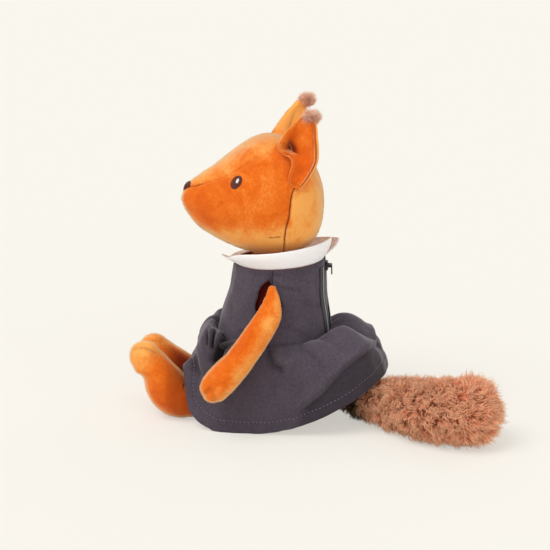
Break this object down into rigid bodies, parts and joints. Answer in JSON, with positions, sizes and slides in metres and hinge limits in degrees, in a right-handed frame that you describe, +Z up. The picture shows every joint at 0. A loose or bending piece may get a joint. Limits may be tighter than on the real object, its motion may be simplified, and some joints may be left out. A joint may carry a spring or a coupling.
{
  "type": "plush squirrel",
  "caption": "Seated plush squirrel with tufted ears and a shaggy tail, in a sleeveless zipped pinafore dress with a white collar; head, arms, legs, tail and zip move.",
  "frame": {"origin": "centre of the flat seat under the torso", "axes": "+Z up; the squirrel faces -Y with its tail towards +Y; its left side is +X"},
  "size_m": [0.1552, 0.2922, 0.2482],
  "materials": {
    "velour": "short pile velour, orange",
    "velour_lining": "short pile velour, deeper orange inside the ears",
    "tail_fur": "long curly fur, rosy brown",
    "ear_fur": "short fur tuft, pinkish brown",
    "charcoal_cotton": "plain woven cotton, charcoal with a violet cast",
    "white_cotton": "plain woven cotton, white",
    "zip_tape": "woven polyester tape, near black",
    "zip_coil": "nylon coil, grey",
    "zip_metal": "lacquered zinc, black",
    "brown_embroidery": "satin stitch in dark brown thread",
    "white_embroidery": "satin stitch in white thread",
    "filling": "polyester fibre filling",
    "pellet_cloth": "plain cloth bag of pellets"
  },
  "bodies": {
    "body": {"torso_skin": "velour", "torso_stuffing": "filling", "seat_pellet_bag": "pellet_cloth", "bodice_front": "charcoal_cotton", "bodice_back_left": "charcoal_cotton", "bodice_back_right": "charcoal_cotton", "skirt_front": "charcoal_cotton", "skirt_back_left": "charcoal_cotton", "skirt_back_right": "charcoal_cotton", "collar_left": "white_cotton", "collar_right": "white_cotton", "zip_tape_left": "zip_tape", "zip_tape_right": "zip_tape", "zip_coil_left": "zip_coil", "zip_coil_right": "zip_coil", "zip_bottom_stop": "zip_metal"},
    "zip_slider": {"zip_slider": "zip_metal"},
    "zip_pull": {"zip_pull": "zip_metal"},
    "head": {"head_skin": "velour", "head_stuffing": "filling", "nose": "brown_embroidery", "eye_left": "brown_embroidery", "eye_glint_left": "white_embroidery", "ear_left_back": "velour", "ear_left_lining": "velour_lining", "ear_left_tuft": "ear_fur", "eye_right": "brown_embroidery", "eye_glint_right": "white_embroidery", "ear_right_back": "velour", "ear_right_lining": "velour_lining", "ear_right_tuft": "ear_fur"},
    "arm_left": {"arm_left_skin": "velour", "arm_left_stuffing": "filling"},
    "arm_right": {"arm_right_skin": "velour", "arm_right_stuffing": "filling"},
    "leg_left": {"leg_left_skin": "velour", "leg_left_stuffing": "filling"},
    "leg_right": {"leg_right_skin": "velour", "leg_right_stuffing": "filling"},
    "tail": {"tail_skin": "tail_fur", "tail_stuffing": "filling"}
  },
  "joints": [
    {"name": "head_turn", "type": "hinge", "parent": "body", "child": "head", "pos_m": [0, 0.009, 0.13], "axis": [0, 0, 1], "range_deg": [-44, 16]},
    {"name": "arm_left_swing", "type": "hinge", "parent": "body", "child": "arm_left", "pos_m": [0.036, 0.0075, 0.1065], "axis": [1, 0, 0], "range_deg": [-90, 8]},
    {"name": "arm_right_swing", "type": "hinge", "parent": "body", "child": "arm_right", "pos_m": [-0.036, 0.0075, 0.1065], "axis": [1, 0, 0], "range_deg": [-90, 8]},
    {"name": "leg_left_swing", "type": "hinge", "parent": "body", "child": "leg_left", "pos_m": [0.022, -0.0454, 0.0132], "axis": [1, 0, 0], "range_deg": [-4, 75]},
    {"name": "leg_right_swing", "type": "hinge", "parent": "body", "child": "leg_right", "pos_m": [-0.022, -0.0454, 0.0132], "axis": [1, 0, 0], "range_deg": [-4, 75]},
    {"name": "tail_swing", "type": "hinge", "parent": "body", "child": "tail", "pos_m": [0, 0.05498, 0.015], "axis": [0, 0, 1], "range_deg": [-3, 60]},
    {"name": "zip_slide", "type": "slide", "parent": "body", "child": "zip_slider", "axis": [0, -0.0308, 0.9995], "range_m": [-0.045, 0]},
    {"name": "zip_pull_swing", "type": "hinge", "parent": "zip_slider", "child": "zip_pull", "pos_m": [0, 0.04931, 0.12263], "axis": [1, 0, 0], "range_deg": [0, 120]}
  ]
}
